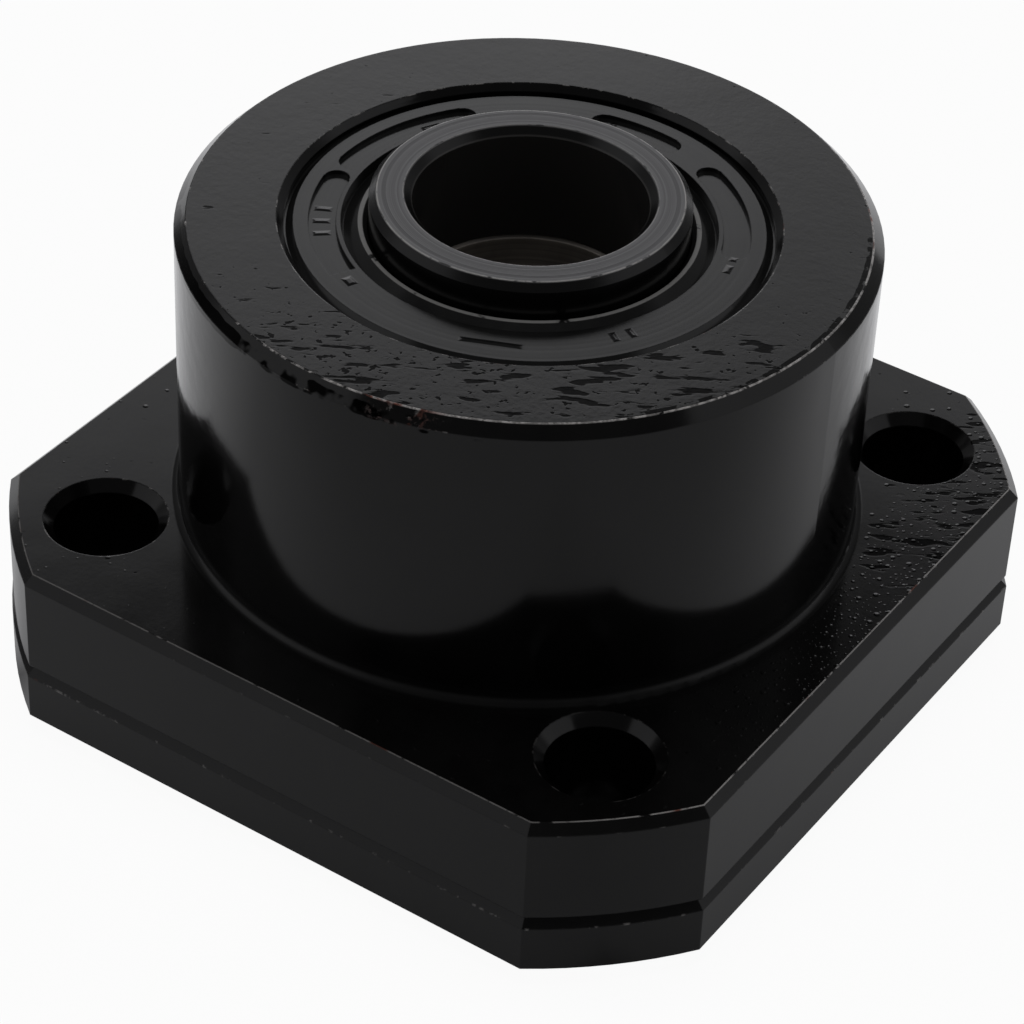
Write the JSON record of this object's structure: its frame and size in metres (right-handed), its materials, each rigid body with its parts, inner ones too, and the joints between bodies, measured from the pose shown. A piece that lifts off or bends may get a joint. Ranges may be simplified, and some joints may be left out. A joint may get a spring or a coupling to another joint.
{
  "type": "ball screw end support",
  "caption": "Flanged fixed-side support for a ball screw: round boss on a square flange with turned corners, angular contact bearings, lid, collars and oil seals.",
  "frame": {"origin": "on the screw axis, at the free face of the rear collar, which is what the unit stands on", "axes": "+Z along the screw axis towards the boss and its nose; +X and +Y square to the flange's flats, so the mounting holes lie on the diagonals"},
  "size_m": [0.0442, 0.0442, 0.0287],
  "materials": {
    "housing_black": "glossy black oxide over turned and ground steel, with worn bright edges",
    "lid_black": "glossy black oxide over milled steel",
    "screw_steel": "black oxide",
    "collar_steel": "fine turned face, dark sides",
    "seal_rubber": "smooth moulded nitrile rubber",
    "case_steel": "pressed sheet steel",
    "ring_steel": "ground bearing steel",
    "cage_resin": "moulded polyamide",
    "ball_steel": "polished bearing steel"
  },
  "bodies": {
    "housing_set": {"housing": "housing_black", "lid": "lid_black", "lid_screws": "screw_steel", "front_seal": "seal_rubber", "front_seal_case": "case_steel", "rear_seal": "seal_rubber", "rear_seal_case": "case_steel", "front_outer_ring": "ring_steel", "rear_outer_ring": "ring_steel"},
    "spindle": {"front_collar": "collar_steel", "rear_collar": "collar_steel", "front_inner_ring": "ring_steel", "rear_inner_ring": "ring_steel"},
    "front_cage_set": {"front_cage": "cage_resin", "front_balls": "ball_steel"},
    "rear_cage_set": {"rear_cage": "cage_resin", "rear_balls": "ball_steel"}
  },
  "joints": [
    {"name": "spindle_spin", "type": "hinge", "parent": "housing_set", "child": "spindle", "pos_m": [0, 0, 0.01435], "axis": [0, 0, 1], "continuous": true},
    {"name": "front_cage_spin", "type": "hinge", "parent": "housing_set", "child": "front_cage_set", "pos_m": [0, 0, 0.0182], "axis": [0, 0, 1], "continuous": true},
    {"name": "rear_cage_spin", "type": "hinge", "parent": "housing_set", "child": "rear_cage_set", "pos_m": [0, 0, 0.0102], "axis": [0, 0, 1], "continuous": true}
  ],
  "couplings": [
    {"joint": "front_cage_spin", "follows": "spindle_spin", "ratio": 0.385},
    {"joint": "rear_cage_spin", "follows": "spindle_spin", "ratio": 0.385}
  ]
}
